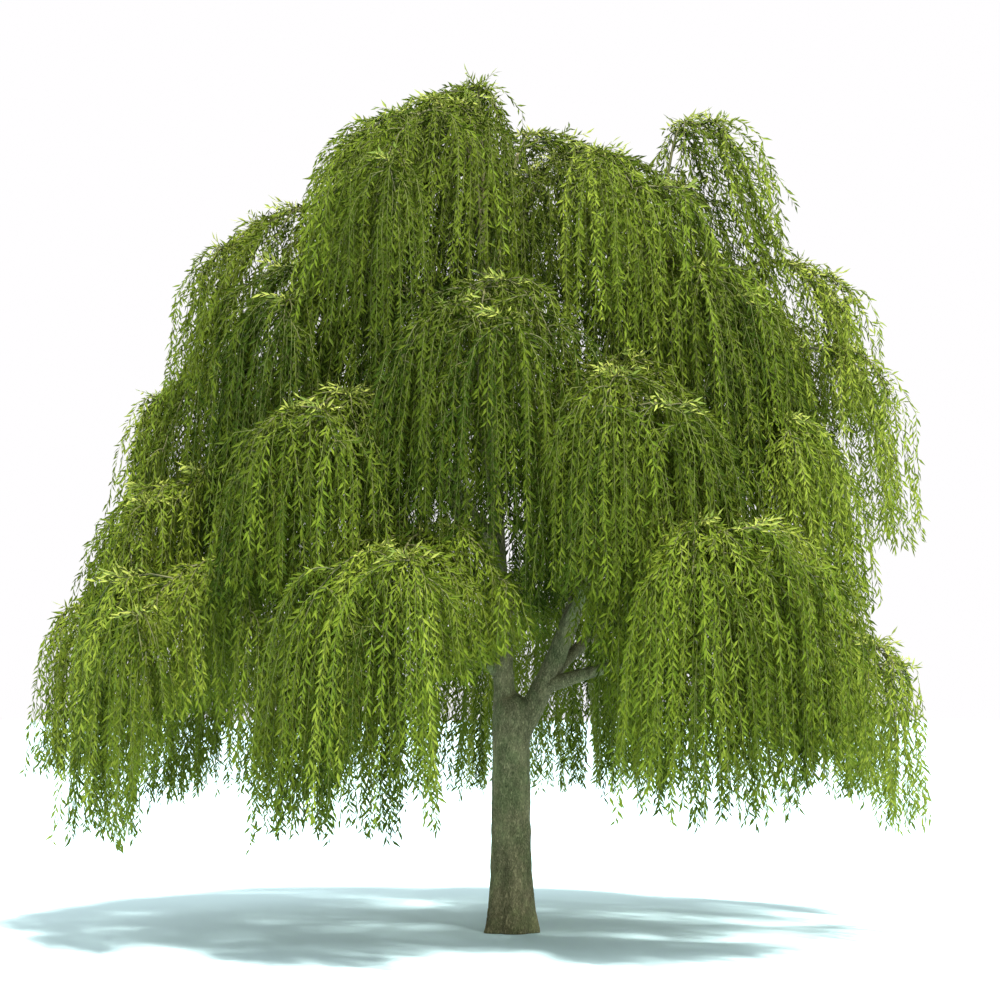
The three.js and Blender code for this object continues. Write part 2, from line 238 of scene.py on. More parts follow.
class Value:
    """A socket that takes part in sums, so that a pattern reads as the formula it is."""

    def __init__(self, graph, socket):
        self.graph, self.socket = graph, socket

    def _math(self, operation, *terms):
        return self.graph("Math", {i: term for i, term in enumerate(terms)}, operation=operation)

    def __add__(self, other):
        return self._math("ADD", self, other)

    def __sub__(self, other):
        return self._math("SUBTRACT", self, other)

    def __rsub__(self, other):
        return self._math("SUBTRACT", other, self)

    def __mul__(self, other):
        return self._math("MULTIPLY", self, other)

    def __abs__(self):
        return self._math("ABSOLUTE", self)

    __radd__ = __add__
    __rmul__ = __mul__


class Graph:
    """One node tree. Calling it makes a node: its kind, its sockets' values or links, its settings."""

    def __init__(self, tree, family="ShaderNode"):
        self.tree, self.family = tree, family

    def node(self, kind, sockets=(), **settings):
        made = None
        for family in (self.family, "ShaderNode", "FunctionNode"):
            if hasattr(bpy.types, family + kind):
                made = self.tree.nodes.new(family + kind)
                break
        for setting, value in settings.items():
            if setting == "stops":
                self._set_stops(made.color_ramp, value)
            else:
                setattr(made, setting, value)
        for name, value in dict(sockets).items():
            if isinstance(value, Value):
                self.tree.links.new(value.socket, made.inputs[name])
            else:
                made.inputs[name].default_value = value
        return made

    def __call__(self, kind, sockets=(), output=0, **settings):
        """The same, as the value that one of the node's outputs gives."""
        return Value(self, self.node(kind, sockets, **settings).outputs[output])

    @staticmethod
    def _set_stops(ramp, stops):
        while len(ramp.elements) < len(stops):
            ramp.elements.new(0.5)
        for element, (place, colour) in zip(ramp.elements, stops):
            element.position = place
            element.color = (*colour, 1)


def fresh_material(name):
    """A material with no nodes yet, and its graph."""
    material = bpy.data.materials.new(name)
    material.use_nodes = True
    material.node_tree.nodes.clear()
    return material, Graph(material.node_tree)


def bark_material(name, scale, along, depth, bloom):
    """Furrowed bark: olive-brown plates with tan flecks, dark furrows, and a green bloom of algae."""
    material, graph = fresh_material(name)
    place = graph("TexCoord", output="Object")
    drawn_out = graph("Mapping", {"Vector": place, "Scale": (scale, scale, scale * along)})
    ridges = graph("TexNoise", {"Vector": drawn_out, "Scale": 1.0, "Detail": 7.0, "Distortion": 1.4})
    fibres = graph("TexNoise", {"Vector": drawn_out, "Scale": 3.4, "Detail": 6.0, "Roughness": 0.7})
    flecks = graph("TexNoise", {"Vector": place, "Scale": 70.0, "Detail": 5.0, "Roughness": 0.7})
    patches = graph("TexNoise", {"Vector": place, "Scale": 3.2, "Detail": 4.0, "Roughness": 0.6})
    stains = graph("TexNoise", {"Vector": drawn_out, "Scale": 0.16, "Detail": 5.0, "Roughness": 0.65})
    furrow = abs(ridges * 2 - 1) * 2.0
    height = furrow * 0.26 + fibres * 0.42 + flecks * 0.26 + stains * 0.5 - 0.14
    plates = graph("ValToRGB", {"Fac": height}, stops=[
        (0.34, (0.036, 0.034, 0.017)),
        (0.50, (0.140, 0.130, 0.066)),
        (0.66, (0.310, 0.272, 0.146)),
        (0.86, (0.640, 0.540, 0.330)),
    ])
    algae = graph("ValToRGB", {"Fac": height}, stops=[
        (0.34, (0.036, 0.050, 0.020)),
        (0.86, (0.360, 0.400, 0.170)),
    ])
    share = graph("MapRange", {"Value": patches, "From Min": 0.44, "From Max": 0.62, "To Max": bloom})
    colour = graph("Mix", {0: share, 6: plates, 7: algae}, output=2, data_type="RGBA")
    bump = graph("Bump", {"Height": height, "Strength": 1.0, "Distance": depth})
    shader = graph("BsdfPrincipled", {"Base Color": colour, "Roughness": 0.95 - height * 0.1,
                                      "Normal": bump, "Specular IOR Level": 0.2})
    graph.node("OutputMaterial", {"Surface": shader})
    return material


trunk_bark.data.materials.clear()
old_bark = bark_material("furrowed bark", scale=30.0, along=0.34, depth=0.010, bloom=0.62)
trunk_bark.data.materials.append(old_bark)
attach(trunk_bark, "root")
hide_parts("trunk", "leader_centre", "leader_right")

# ---- Boughs ----
# Tapering limbs that leave the leaders steeply, swell into them at a collar, and arch outwards.
# Their bark is younger and smoother than the trunk's. The leaders' upper lengths are with them.

# Every bough springs from a leader, or goes on from its head, rises to its apex and falls to its tip,
# both at r metres from the trunk's axis. Its foliage spreads this far sideways, down to this floor.
ARCH_SIZES = ("name", "leader", "azimuth", "springs", "apex", "tip", "spread", "floor")
#    name                    leader azimuth springs  apex r, z     tip r, z   spread floor
ARCHES = [dict(zip(ARCH_SIZES, sizes)) for sizes in (
    ("crown_top",            "centre", 140, None, (0.52, 9.94), (1.75, 8.55), 0.95, 6.60),
    ("crown_left",           "centre", 192, 6.90, (0.70, 9.60), (2.02, 8.15), 0.62, 6.00),
    ("crown_front",          "centre", 238, 6.56, (1.05, 9.34), (2.80, 7.60), 1.05, 5.40),
    ("crown_front_right",    "centre", 302, 6.24, (1.12, 8.82), (2.70, 7.50), 1.05, 5.40),
    ("crown_right",          "right",    1, None, (2.06, 9.44), (2.95, 7.90), 0.78, 6.30),
    ("crown_back",           "centre",  72, 6.72, (1.02, 9.54), (2.75, 7.80), 1.50, 5.60),
    ("shoulder_left",        "centre", 178, 5.70, (2.36, 8.40), (3.42, 7.10), 0.90, 5.90),
    ("shoulder_front_left",  "centre", 216, 5.20, (2.05, 7.50), (3.25, 6.10), 1.25, 4.60),
    ("shoulder_front",       "centre", 264, 5.12, (2.45, 7.05), (3.40, 5.45), 1.15, 2.80),
    ("shoulder_front_right", "right",  316, 5.15, (2.15, 7.50), (3.20, 6.10), 1.20, 4.40),
    ("shoulder_right",       "right",    3, 5.65, (3.15, 7.80), (3.76, 6.70), 0.95, 5.70),
    ("shoulder_back_right",  "right",   40, 5.05, (2.75, 7.75), (3.80, 6.50), 1.60, 4.80),
    ("shoulder_back_left",   "centre", 108, 4.85, (2.55, 7.95), (3.65, 6.60), 1.60, 4.80),
    ("arm_left",             "centre", 176, 4.45, (3.36, 6.55), (4.12, 5.45), 1.10, 4.60),
    ("arm_front_left",       "centre", 236, 4.15, (2.95, 5.90), (4.00, 4.80), 1.30, 3.60),
    ("arm_front_right",      "right",  289, 4.20, (2.95, 6.15), (3.90, 5.10), 1.25, 3.50),
    ("arm_right",            "right",  357, 4.55, (3.50, 6.72), (4.24, 5.45), 1.08, 4.30),
    ("arm_back_right",       "right",   72, 3.90, (3.05, 6.20), (4.25, 4.90), 1.60, 3.60),
    ("arm_back_left",        "centre", 142, 3.98, (3.05, 6.20), (4.25, 4.90), 1.60, 3.60),
    ("elbow_left",           "centre", 199, 3.76, (3.40, 5.15), (4.50, 4.15), 1.25, 3.10),
    ("elbow_right",          "right",  327, 3.86, (3.05, 5.85), (3.78, 4.70), 0.95, 3.50),
    ("skirt_left",           "centre", 176, 2.96, (4.02, 4.15), (5.05, 3.10), 1.35, 1.68),
    ("skirt_front_left",     "centre", 214, 3.20, (3.65, 4.15), (4.75, 3.00), 1.45, 1.02),
    ("skirt_front",          "centre", 254, 3.48, (3.25, 4.35), (4.40, 3.25), 1.45, 1.15),
    ("skirt_front_right",    "right",  298, 3.50, (3.35, 4.65), (4.45, 3.45), 1.45, 1.32),
    ("skirt_right",          "right",  345, 2.80, (3.78, 3.32), (4.32, 2.60), 1.25, 1.15),
    ("skirt_back_right",     "right",   37, 2.88, (3.70, 4.20), (4.55, 3.10), 1.75, 1.35),
    ("skirt_back",           "centre",  82, 3.48, (3.50, 4.30), (4.70, 3.10), 1.85, 1.35),
    ("skirt_back_left",      "centre", 131, 3.18, (3.70, 4.25), (4.85, 3.10), 1.60, 1.30),
)]
RISE_HANDLES = (0.28, 0.55, 0.45)  # out and up from the leader, and back from the apex
FALL_HANDLES = (0.6, 0.55)  # out from the apex, and up from the tip
BOUGH_SHARE = 0.68  # of the rise to the apex, where the foliage takes over
BOUGH_TIP_RADIUS = 0.024
BOUGH_SLIMNESS = 0.02  # radius at the foot as a share of the reach, and at most
BOUGH_FOOT_SHARE = 0.72  # this share of the leader's own radius there
BOUGH_RINGS = 34
BOUGH_SIDES = 12
COLLAR_SWELL = 0.35
COLLAR_RINGS = 1.6
KNOTTINESS = 0.06
KNOT_PITCH = 4.0
LEADER_OVERLAP = 0.6  # the leaders' upper lengths start this far down inside the trunk's skin
INSET = 0.04  # where they are this share slimmer
INSET_RINGS = 8
UPPER_RINGS = 70
UPPER_SIDES = 20
YOUNG_FURROW_DEPTH = 0.004
YOUNG_FURROW_SIZE = 0.6


def out_from(azimuth):
    """The level direction at an azimuth: 0 is to the right, 90 to the back."""
    return Vector((math.cos(math.radians(azimuth)), math.sin(math.radians(azimuth)), 0))


def springing(arch):
    """Where on its leader an arch begins, as a share of the leader's rise."""
    leader = LEADERS[arch["leader"]]
    return rise_share(leader, arch["springs"] or leader["head"])


def arch_point(arch, t):
    """A point of the arch: 0 to 1 on its rise to the apex, 1 to 2 on the way down to its tip."""
    out = out_from(arch["azimuth"])
    apex = out * arch["apex"][0] + UP * arch["apex"][1]
    tip = out * arch["tip"][0] + UP * arch["tip"][1]
    if t > 1:
        onward, upward = FALL_HANDLES
        over = apex + out * onward * (arch["tip"][0] - arch["apex"][0])
        return bezier([apex, over, tip + UP * upward * (apex.z - tip.z), tip], t - 1)
    outward, upward, backward = RISE_HANDLES
    start = leader_point(LEADERS[arch["leader"]], springing(arch))
    across = Vector((apex.x - start.x, apex.y - start.y, 0))
    climb = UP * (apex.z - start.z)
    return bezier([start, start + across * outward + climb * upward, apex - across * backward, apex], t)


def bough_tube(arch):
    """A bough from its collar, thickest there, to where the foliage takes over, with a few knots."""
    reach = arch["apex"][0] + arch["apex"][1] - arch["springs"]
    foot = min(BOUGH_SLIMNESS * reach,
               BOUGH_FOOT_SHARE * leader_radius(LEADERS[arch["leader"]], springing(arch)))
    bough_path = [arch_point(arch, BOUGH_SHARE * i / BOUGH_RINGS) for i in range(BOUGH_RINGS + 1)]
    radii = []
    for ring, place in enumerate(bough_path):
        collar = COLLAR_SWELL * math.exp(-ring / COLLAR_RINGS)
        knot = KNOTTINESS * noise.noise(place * KNOT_PITCH)
        radii.append((foot + (BOUGH_TIP_RADIUS - foot) * ring / BOUGH_RINGS) * (1 + collar + knot))
    return tube(bough_path, lambda ring, angle: radii[ring], BOUGH_SIDES)


limb_tubes = [bough_tube(arch) for arch in ARCHES if arch["springs"]]
for leader in LEADERS.values():
    low = rise_share(leader, FUSED_HEIGHT - LEADER_OVERLAP)
    shares = [low + (1 - low) * i / UPPER_RINGS for i in range(UPPER_RINGS + 1)]
    radii = [leader_radius(leader, s) * (1 - INSET + INSET * min(1, i / INSET_RINGS))
             for i, s in enumerate(shares)]
    upper_path = [leader_point(leader, s) for s in shares]
    limb_tubes.append(tube(upper_path, lambda ring, angle: radii[ring], UPPER_SIDES))
bough_bark = mesh_object("bough_bark", *joined(limb_tubes))
relieved(bough_bark, lambda place: YOUNG_FURROW_DEPTH * furrows(place, YOUNG_FURROW_SIZE))
young_bark = bark_material("young bark", scale=34.0, along=0.4, depth=0.004, bloom=0.9)
bough_bark.data.materials.append(young_bark)
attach(bough_bark, "root")
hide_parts(*["bough_" + arch["name"] for arch in ARCHES if arch["springs"]])

# ---- Stems, twigs and withes ----
# Each bough goes on as a stem that arches over and down. Twigs fan out from it on both sides, and
# from all along them hang the withes: whips no thicker than a pencil, up to three metres long.

STEM_RADII = (0.020, 0.008)  # at the foot and at the tip
SIDE_STEM_RADII = (0.012, 0.005)
TWIG_RADII = (0.0085, 0.0035)
WITHE_RADII = (0.0032, 0.0014)
TWIG_SIDES = 5
WITHE_SIDES = 3
SKY = np.array((0.0, 0.0, 1.0))  # straight up

# Each of these is a path, its radii at both ends, and how light its leaves are: painted light and shade,
# with a tone by chance.
stems, twigs, withes, tufts = [], [], [], []


def draws_from(seed):
    """A seeded draw: the same seed always grows the same tree."""
    state = seed

    def draw(low, high):
        nonlocal state
        state = (state * 1664525 + 1013904223) % 2**32
        return low + (high - low) * state / 2**32
    return draw


# The space of each mass: nearest to its own site, above its floor, and not in a parting. The
# curtain is parted in front of the trunk, and its hem is notched between the masses.
SITE_DROP = 0.85
EASING = 0.15  # length over which what stands out further is brought in
LEAST_RADIUS = 0.01
PARTINGS = (
    dict(left=-0.72, right=0.92, depth=0.2, height=2.72, middle=0.4, reach=0.8, rise=0.42),
    dict(left=-3.95, right=-2.70, depth=3.2, height=1.15, middle=-3.32, reach=0.63, rise=1.3),
    dict(left=2.75, right=4.1, depth=3.5, height=1.15, middle=3.45, reach=0.68, rise=0.8),
)

sites = np.array([out_from(a["azimuth"]) * (a["apex"][0] + a["tip"][0]) / 2 + UP * (a["apex"][1] - SITE_DROP)
                  for a in ARCHES])


def in_space(index, points, overhang, floor=None):
    """Which points belong to a mass: nearer to its own site than to another's, give or take."""
    gaps = ((points[:, None, :] - sites[None, :, :]) ** 2).sum(axis=2)
    apart = np.linalg.norm(sites - sites[index], axis=1)
    apart[index] = 1
    lead = (gaps - gaps[:, [index]]) / (2 * apart)
    lead[:, index] = 1
    x, y, z = points.T
    lowest = np.full(len(points), floor or ARCHES[index]["floor"])
    for gap in PARTINGS:
        vault = np.maximum(gap["rise"] * (1 - ((x - gap["middle"]) / gap["reach"])**2), 0)
        within = (y < gap["depth"]) & (x > gap["left"]) & (x < gap["right"])
        lowest = np.maximum(lowest, np.where(within, gap["height"] + vault, 0))
    return (lead.min(axis=1) > -overhang) & (z > lowest)


def run_inside(inside):
    """How many points there are before the first that is outside."""
    return len(inside) if inside.all() else int(np.argmin(inside))


def drawn_in(index, points, outreach):
    """The points, with those that stand out too far past the tip of the stem brought in."""
    radius = np.maximum(np.linalg.norm(points[:, :2], axis=1), LEAST_RADIUS)
    most = ARCHES[index]["tip"][0] + outreach
    past = radius - (most - EASING)
    eased = np.where(past > 0, most - EASING * np.exp(-past / EASING), radius)
    points[:, :2] *= (eased / radius)[:, None]
    return points


def along(path, share):
    """The place at a share of a path."""
    place = share * (len(path) - 1)
    i = min(int(place), len(path) - 2)
    return path[i] + (path[i + 1] - path[i]) * (place - i)


# How light a spray's leaves are painted: painted light and shade by its place in its mass and by how
# much sun and sky the mass gets, and a tone that differs by chance.
# Painted light on a mass's outside and top, over the deep green of its painted shade inside.
OUTSIDE_LIGHT = 0.34
OUTSIDE_MOST = 1.2
INSIDE_SHARE = 0.45  # of the apex's radius, up to which a place counts as inside
TOP_LIGHT = 0.44
TOP_MARGIN = 0.5
# Fixed painted light for the leaves on stems, side stems, crests and tufts, and on the leaders' twigs: the
# tufts' young leaves are yellow-green of their own and lightest with a painted highlight at the tops, and
# those on the leaders' twigs, deep inside the crown, are painted in shade.
STEM_LIGHT = 0.5
SIDE_STEM_LIGHT = 0.7
CREST_LIGHT = 1.0
TUFT_LIGHT = 1.6
LEADER_LIGHT = 0.1
TWIG_SHADES = (0, 0.3)
SPRAY_SHADES = (0, 0.24)
WITHE_SHADES = (0, 0.1)
# Painted sun and shade for each mass: lighter greens where a mass is sunlit or lit through from behind, and
# darker greens, below nought, where it lies in the crown's shade.
SUNLIT = {
    "crown_top": 0.26, "crown_left": 0.2, "crown_front": 0.1, "crown_front_right": 0.14, "crown_right": 0.2,
    "crown_back": 0.25, "shoulder_left": 0.14, "shoulder_front_left": -0.08, "shoulder_front": -0.06,
    "shoulder_right": 0.36, "arm_left": 0.16, "arm_front_left": 0.08, "arm_front_right": 0.07,
    "arm_right": 0.36, "elbow_left": 0.14, "elbow_right": 0.2, "skirt_left": 0.24,
    "skirt_front_left": 0.18, "skirt_front": 0.13, "skirt_front_right": 0.16, "skirt_right": 0.3,
    "skirt_back_right": 0.36, "skirt_back": 0.5, "skirt_back_left": 0.3,
}


def painted_light(arch, place):
    """Painted light and shade: leaves are lightest at the top and outside of their mass, where sun and sky
    fall, and deep green in the painted shade within the crown.
    """
    apex, tip = arch["apex"], arch["tip"]
    inside = INSIDE_SHARE * apex[0]
    outward = (math.hypot(place[0], place[1]) - inside) / (tip[0] - inside)
    upward = 1 - (apex[1] - place[2]) / (apex[1] - tip[1] + TOP_MARGIN)
    light = OUTSIDE_LIGHT * min(max(outward, 0), OUTSIDE_MOST) + TOP_LIGHT * min(max(upward, 0), 1)
    return light + SUNLIT.get(arch["name"], 0)


# Withes: how densely they hang, how full of them a mass is where that isn't 1, and how they set out
# from their twig, forwards, sideways and up, before they bend over.
WITHE_SPACING = 0.092
FULLNESS = {
    "crown_right": 0.38, "crown_left": 0.9, "shoulder_left": 0.78, "shoulder_right": 0.45, "arm_right": 0.37,
    "skirt_left": 0.58, "skirt_front": 1.35, "skirt_front_right": 1.6, "skirt_right": 0.25,
    "skirt_back_right": 0.85, "skirt_back": 0.9,
}
WITHE_PLACES = (0.2, 1.0)
STEM_BARE = 0.05  # share of a stem, twig or shoot from its foot that bears none
TWIG_BARE = 0.08
SHOOT_BARE = 0.1
NEARBY = 0.05  # the twig's own heading at a withe is taken over this share, either way
WITHE_FORWARD = (0.5, 1.0)
WITHE_SIDEWAYS = (0.15, 0.75)
WITHE_UPWARD = (0.0, 0.45)
SWAY = 0.06
ONWARD_SWAY = 0.08
FOUNTAIN = 0.34  # how far outwards a withe hangs, per metre, at the upper of these heights
FOUNTAIN_HEIGHTS = (4, 10)
FOUNTAIN_CORE = 0.6
WITHE_REACH = 3.1
HIGH_FLOOR = 2.0  # masses whose floor is above this have more short withes
HIGH_SHORTEST = 0.48
LOW_SHORTEST = 0.6
WITHE_SWEEPS = (0.2, 0.45)  # length over which a withe bends over
WIDE_SWEEP_HEIGHT = 5.5
SWEEP_DOUBLING = 12
WITHE_POINTS = 25
LEAST_WITHE_POINTS = 5
WITHE_KNOTS = (0, 0.14, 0.38, 1)
FRINGE = (0.87, 1)  # the ends of neighbouring withes are uneven
WITHE_OVERHANG = 1.5  # how far a withe may reach into the space of the mass next to it
WITHE_OUTREACH = (0.05, 0.68)  # how far out past the tip of its stem it may stand


def withe_path(root, start, sway, length, sweep):
    """A withe sets out along its twig and bends over within its sweep to hang."""
    run = np.linspace(0, length, WITHE_POINTS)
    bend = np.exp(-run / sweep)[:, None]
    way = start * bend + (sway - SKY) * (1 - bend)
    way /= np.linalg.norm(way, axis=1)[:, None]
    steps = (way[1:] + way[:-1]) / 2 * (run[1] - run[0])
    return root + np.vstack([np.zeros(3), np.cumsum(steps, axis=0)])


def at_knots(path):
    """A withe thinned to a few points, closest where it bends most."""
    places = np.array(WITHE_KNOTS) * (len(path) - 1)
    low = np.floor(places).astype(int)
    high = np.minimum(low + 1, len(path) - 1)
    return path[low] + (path[high] - path[low]) * (places - low)[:, None]


def hang_withes(index, path, first, draw, floor=None):
    """Hangs withes all along a twig or stem, on alternate sides, each as far as its space allows."""
    arch = ARCHES[index]
    length = float(np.linalg.norm(np.diff(path, axis=0), axis=1).sum())
    count = max(1, round(length * (1 - first) / WITHE_SPACING * FULLNESS.get(arch["name"], 1)))
    shortest = HIGH_SHORTEST if arch["floor"] > HIGH_FLOOR else LOW_SHORTEST
    low, high = FOUNTAIN_HEIGHTS
    spray_shade = draw(*SPRAY_SHADES)
    for n in range(count):
        share = first + (1 - first) * (n + draw(*WITHE_PLACES)) / count
        root = along(path, share)
        way = along(path, min(1, share + NEARBY)) - along(path, max(0, share - NEARBY))
        way /= np.linalg.norm(way)
        side = np.cross(way, SKY) * (1 if n % 2 else -1)
        start = way * draw(*WITHE_FORWARD) + side * draw(*WITHE_SIDEWAYS) + SKY * draw(*WITHE_UPWARD)
        start /= np.linalg.norm(start)
        sway = np.array((draw(-SWAY, SWAY), draw(-SWAY, SWAY), 0))
        sway[:2] += ONWARD_SWAY * start[:2]
        rising = FOUNTAIN * max(0, root[2] - low) / (high - low)
        sway[:2] += rising * root[:2] / max(FOUNTAIN_CORE, np.hypot(*root[:2]))
        reach = WITHE_REACH * draw(shortest, 1)
        sweep = draw(*WITHE_SWEEPS) * (1 + max(0, root[2] - WIDE_SWEEP_HEIGHT) / SWEEP_DOUBLING)
        hang = drawn_in(index, withe_path(root, start, sway, reach, sweep), draw(*WITHE_OUTREACH))
        kept = int(run_inside(in_space(index, hang, WITHE_OVERHANG, floor)) * draw(*FRINGE))
        light = painted_light(arch, root) + spray_shade + draw(*WITHE_SHADES)
        if kept >= LEAST_WITHE_POINTS:
            withes.append((at_knots(hang[:kept]), WITHE_RADII, light))


# Twigs: how long they are as a share of their mass's spread, how far they turn off the stem's own
# heading, how steeply they set out, and how far they droop as a share of their length.
TWIGS = 11
TWIG_PLACES = (0.1, 0.9)
TWIG_LENGTHS = (0.5, 1.1)
TWIG_TAPERING = 0.4  # how much shorter they are at the stem's tip
TWIG_TURNS = (0.6, 1.5)
TWIG_LIFTS = (0, 0.35)
TWIG_DROOPS = (0.5, 0.95)
TWIG_POINTS = 7
LEAST_TWIG_POINTS = 3
TWIG_OVERHANG = 0.30
TWIG_OUTREACH = 0.22
LEANING = 0.3  # how much longer the shoots are on the side away from the middle of the crown
SIDEWAYS_LENGTH = 1.1
OUTWARD_SHORTENING = 0.4  # a shoot straight outwards is this much shorter than one sideways


def bent_shoot(root, way, droop, points):
    """A shoot along a way, bent down by its droop at the tip."""
    run = np.linspace(0, 1, points)[:, None]
    return root + way * run - SKY * droop * run**2


def shoot_out(index, stem, share, turns, length, lift, droop, hand, draw):
    """A shoot that leaves a stem sideways and bends down, cut where it leaves the mass's space."""
    azimuth = ARCHES[index]["azimuth"]
    turn = draw(*turns)
    way = np.array(out_from(azimuth)) * math.cos(turn) + SKY * lift
    way += np.array(out_from(azimuth + 90)) * hand * math.sin(turn)
    way /= np.linalg.norm(way)
    length *= 1 - LEANING * hand * math.sin(math.radians(2 * azimuth))
    length *= SIDEWAYS_LENGTH - OUTWARD_SHORTENING * math.cos(turn)
    path = bent_shoot(along(stem, share), way * length, droop * length, TWIG_POINTS)
    path = drawn_in(index, path, TWIG_OUTREACH)
    return path[:run_inside(in_space(index, path, TWIG_OVERHANG))]


def leafy_twigs(index, stem, count, spread, draw):
    """Twigs all along a stem, on alternate sides, hung with withes."""
    for n in range(count):
        share = (n + draw(*TWIG_PLACES)) / count
        length = spread * draw(*TWIG_LENGTHS) * (1 - TWIG_TAPERING * share)
        lift = draw(*TWIG_LIFTS)
        droop = draw(*TWIG_DROOPS)
        path = shoot_out(index, stem, share, TWIG_TURNS, length, lift, droop, 1 if n % 2 else -1, draw)
        if len(path) >= LEAST_TWIG_POINTS:
            light = painted_light(ARCHES[index], path[len(path) // 2]) + draw(*TWIG_SHADES)
            twigs.append((path, TWIG_RADII, light))
            hang_withes(index, path, TWIG_BARE, draw)


# Short shoots: tufts of young ones on top of each stem, and a crest where a leader's head goes on as
# a stem.
TUFT_SHOOTS = 9
TUFT_HALF_LENGTH = 0.14  # share of the stem
TUFT_LIFTS = (0.2, 0.9)
TUFT_REACHES = (0.10, 0.28)
TUFT_DROOP = 0.35
TUFT_POINTS = 4
CREST_SHOOTS = 6
CREST_PLACES = (0, 0.6)
CREST_LIFTS = (0.3, 0.6)
CREST_REACHES = (0.3, 0.5)
CREST_SHARES = (0.3, 0.5)  # of the stem, where they spring
CREST_DROOP = 0.7
SHOOT_POINTS = 6


def heading(angle, lift):
    """A way out at an angle, rising by its lift for each metre outwards."""
    return np.array((math.cos(angle), math.sin(angle), lift))


def tuft(stem, top, draw):
    """Young upright shoots round the highest point of a stem."""
    for _ in range(TUFT_SHOOTS):
        root = along(stem, min(1, max(0, top + draw(-TUFT_HALF_LENGTH, TUFT_HALF_LENGTH))))
        way = heading(draw(0, math.tau), draw(*TUFT_LIFTS))
        reach = draw(*TUFT_REACHES)
        path = bent_shoot(root, way * reach, TUFT_DROOP * reach, TUFT_POINTS)
        tufts.append((path, WITHE_RADII, TUFT_LIGHT))


def crest(index, stem, draw):
    """Shoots all round the top of a stem that goes on from a leader's head."""
    for n in range(CREST_SHOOTS):
        angle = math.tau * (n + draw(*CREST_PLACES)) / CREST_SHOOTS
        way = heading(angle, draw(*CREST_LIFTS)) * draw(*CREST_REACHES)
        path = bent_shoot(along(stem, draw(*CREST_SHARES)), way, CREST_DROOP, SHOOT_POINTS)
        twigs.append((path, TWIG_RADII, CREST_LIGHT))
        hang_withes(index, path, SHOOT_BARE, draw)


# Side stems, and how they branch off and fill the width of their mass.
SIDE_STEMS = 4
SIDE_STEM_REGION = 0.8  # share of the stem that bears them, from its foot
SIDE_STEM_PLACES = (0, 0.8)
SIDE_STEM_LENGTHS = (0.85, 1.35)
SIDE_STEM_TAPERING = 0.3
SIDE_STEM_TURNS = (0.5, 1.3)
SIDE_STEM_LIFTS = (0.15, 0.55)
SIDE_STEM_DROOPS = (0.7, 1.1)
LEAST_SIDE_STEM_POINTS = 4
SIDE_TWIGS = 4
SIDE_SPREAD = 0.62  # share of the mass's own spread
SIDE_TUFT = 0.35


def side_stems(index, stem, draw):
    """Lesser stems on alternate sides of a stem, with twigs, withes and a tuft of their own."""
    spread = ARCHES[index]["spread"]
    for n in range(SIDE_STEMS):
        share = (n + draw(*SIDE_STEM_PLACES)) / SIDE_STEMS * SIDE_STEM_REGION
        length = spread * draw(*SIDE_STEM_LENGTHS) * (1 - SIDE_STEM_TAPERING * share)
        lift = draw(*SIDE_STEM_LIFTS)
        droop = draw(*SIDE_STEM_DROOPS)
        path = shoot_out(index, stem, share, SIDE_STEM_TURNS, length, lift, droop, 1 if n % 2 else -1, draw)
        if len(path) >= LEAST_SIDE_STEM_POINTS:
            stems.append((path, SIDE_STEM_RADII, SIDE_STEM_LIGHT))
            hang_withes(index, path, SHOOT_BARE, draw)
            leafy_twigs(index, path, SIDE_TWIGS, SIDE_SPREAD * spread, draw)
            tuft(path, SIDE_TUFT, draw)


# Every mass grows from its own seed: on its stem, on the bough's upper part and, at the back, on
# more of the bough. The leaders bear twigs all round inside the crown.
MASS_SEED = 7919
FIRST_MASS = 3  # the masses are numbered from here for their seeds
STEM_STEPS = 16
INNER_SHARE = 0.36  # from here on a bough itself bears withes
INNER_STEPS = 6
BACK_AZIMUTHS = (30, 150)  # between these a bough bears twigs too, from further down
BACK_SHARE = 0.2
BACK_TWIGS = 4
BACK_SPREAD = 0.9
LEADER_SEED = 104729
LEADER_TWIGS = 22
LEADER_BARE = 0.34
LEADER_PLACES = (0, 0.8)
GOLDEN_ANGLE = 2.4
LEADER_ANGLES = (-0.3, 0.3)
LEADER_LIFTS = (0.1, 0.6)
LEADER_REACHES = (0.45, 0.95)
LEADER_DROOP = 0.35
LEADER_FLOOR = 3.6


def arch_length(arch, first, last, steps):
    """A length of an arch as an array of points."""
    return np.array([arch_point(arch, first + (last - first) * i / steps) for i in range(steps + 1)])


for index, arch in enumerate(ARCHES):
    draw = draws_from(MASS_SEED * (FIRST_MASS + index))
    start = BOUGH_SHARE if arch["springs"] else 0.0
    stem = arch_length(arch, start, 2, STEM_STEPS)
    stems.append((stem, STEM_RADII, STEM_LIGHT))
    hang_withes(index, stem, STEM_BARE, draw)
    if arch["springs"]:
        hang_withes(index, arch_length(arch, INNER_SHARE, start, INNER_STEPS), 0.0, draw)
    leafy_twigs(index, stem, TWIGS, arch["spread"], draw)
    tuft(stem, (1 - start) / (2 - start), draw)
    if not arch["springs"]:
        crest(index, stem, draw)
    side_stems(index, stem, draw)
    if BACK_AZIMUTHS[0] < arch["azimuth"] < BACK_AZIMUTHS[1]:
        leafy_twigs(index, arch_length(arch, BACK_SHARE, start, INNER_STEPS), BACK_TWIGS, BACK_SPREAD, draw)

